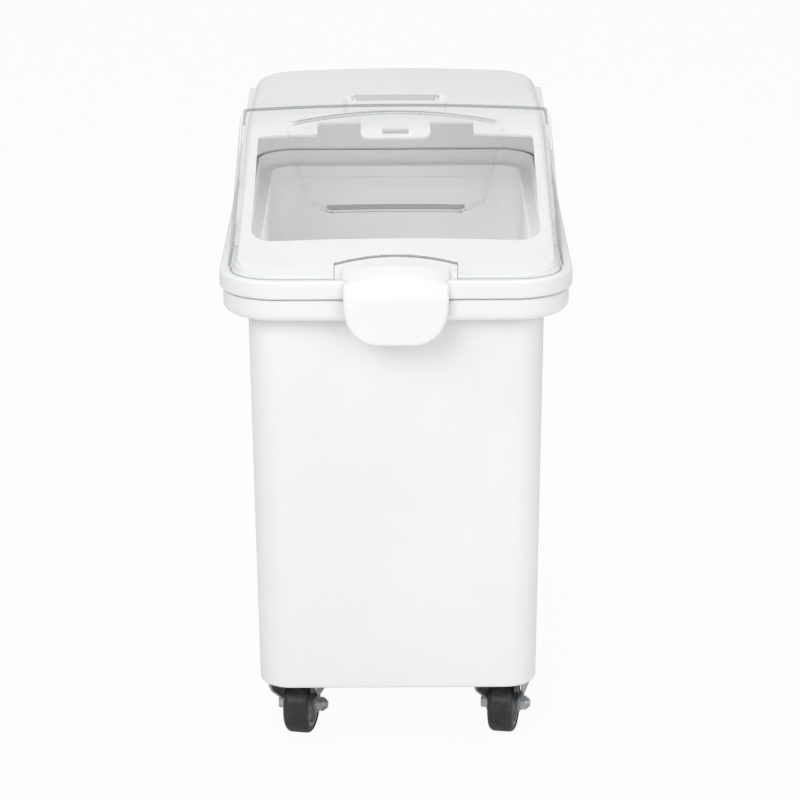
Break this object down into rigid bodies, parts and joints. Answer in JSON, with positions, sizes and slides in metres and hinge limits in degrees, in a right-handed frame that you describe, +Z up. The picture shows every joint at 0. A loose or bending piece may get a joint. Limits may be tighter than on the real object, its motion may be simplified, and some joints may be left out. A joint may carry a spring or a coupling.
{
  "type": "rolling flour bin",
  "caption": "White moulded rolling flour bin with a lift-off hood, a clear slanted lid that slides back, a front tongue and steel casters, the front pair swivelling.",
  "frame": {"origin": "on the floor under the middle of the overall box", "axes": "+Z up, -Y to the front with the tongue, +X to the right as seen from the front"},
  "size_m": [0.42, 0.75, 0.7413],
  "materials": {
    "white_plastic": "satin",
    "clear_plastic": "clear, lightly frosted",
    "zinc_steel": "zinc plated",
    "bright_steel": "polished",
    "brass": "machined",
    "wheel_plastic": "satin",
    "tyre": "matt"
  },
  "bodies": {
    "bin": {"bin_body": "white_plastic", "floor_inserts": "brass", "caster_screws": "zinc_steel", "front_left_top_plate": "zinc_steel", "front_left_balls": "bright_steel", "front_left_race_cup": "zinc_steel", "front_left_kingpin": "bright_steel", "rear_left_fork": "zinc_steel", "rear_left_axle_bolt": "zinc_steel", "rear_left_axle_nut": "zinc_steel", "rear_left_axle_washers": "zinc_steel", "rear_left_axle_sleeve": "zinc_steel", "front_right_top_plate": "zinc_steel", "front_right_balls": "bright_steel", "front_right_race_cup": "zinc_steel", "front_right_kingpin": "bright_steel", "rear_right_fork": "zinc_steel", "rear_right_axle_bolt": "zinc_steel", "rear_right_axle_nut": "zinc_steel", "rear_right_axle_washers": "zinc_steel", "rear_right_axle_sleeve": "zinc_steel"},
    "hood": {"lid_base": "white_plastic"},
    "lid": {"clear_lid": "clear_plastic"},
    "front_left_caster": {"front_left_fork": "zinc_steel", "front_left_axle_bolt": "zinc_steel", "front_left_axle_nut": "zinc_steel", "front_left_axle_washers": "zinc_steel", "front_left_axle_sleeve": "zinc_steel"},
    "front_left_wheel": {"front_left_wheel_core": "wheel_plastic", "front_left_tyre": "tyre"},
    "rear_left_wheel": {"rear_left_wheel_core": "wheel_plastic", "rear_left_tyre": "tyre"},
    "front_right_caster": {"front_right_fork": "zinc_steel", "front_right_axle_bolt": "zinc_steel", "front_right_axle_nut": "zinc_steel", "front_right_axle_washers": "zinc_steel", "front_right_axle_sleeve": "zinc_steel"},
    "front_right_wheel": {"front_right_wheel_core": "wheel_plastic", "front_right_tyre": "tyre"},
    "rear_right_wheel": {"rear_right_wheel_core": "wheel_plastic", "rear_right_tyre": "tyre"}
  },
  "joints": [
    {"name": "hood_lift", "type": "slide", "parent": "bin", "child": "hood", "axis": [0, 0, 1], "range_m": [0, 0.1]},
    {"name": "lid_travel", "type": "hinge", "parent": "hood", "child": "lid", "pos_m": [0, 0.25721, -0.42308], "axis": [-1, 0, 0], "range_deg": [0, 17]},
    {"name": "front_left_swivel", "type": "hinge", "parent": "bin", "child": "front_left_caster", "pos_m": [-0.127, -0.2745, 0.0865], "axis": [0, 0, 1], "continuous": true},
    {"name": "front_left_spin", "type": "hinge", "parent": "front_left_caster", "child": "front_left_wheel", "pos_m": [-0.1207, -0.24722, 0.0375], "axis": [0.9744, -0.225, 0], "continuous": true},
    {"name": "rear_left_spin", "type": "hinge", "parent": "bin", "child": "rear_left_wheel", "pos_m": [-0.127, 0.2895, 0.0375], "axis": [1, 0, 0], "continuous": true},
    {"name": "front_right_swivel", "type": "hinge", "parent": "bin", "child": "front_right_caster", "pos_m": [0.127, -0.2745, 0.0865], "axis": [0, 0, 1], "continuous": true},
    {"name": "front_right_spin", "type": "hinge", "parent": "front_right_caster", "child": "front_right_wheel", "pos_m": [0.13234, -0.24701, 0.0375], "axis": [0.9816, -0.1908, 0], "continuous": true},
    {"name": "rear_right_spin", "type": "hinge", "parent": "bin", "child": "rear_right_wheel", "pos_m": [0.127, 0.2895, 0.0375], "axis": [1, 0, 0], "continuous": true}
  ]
}
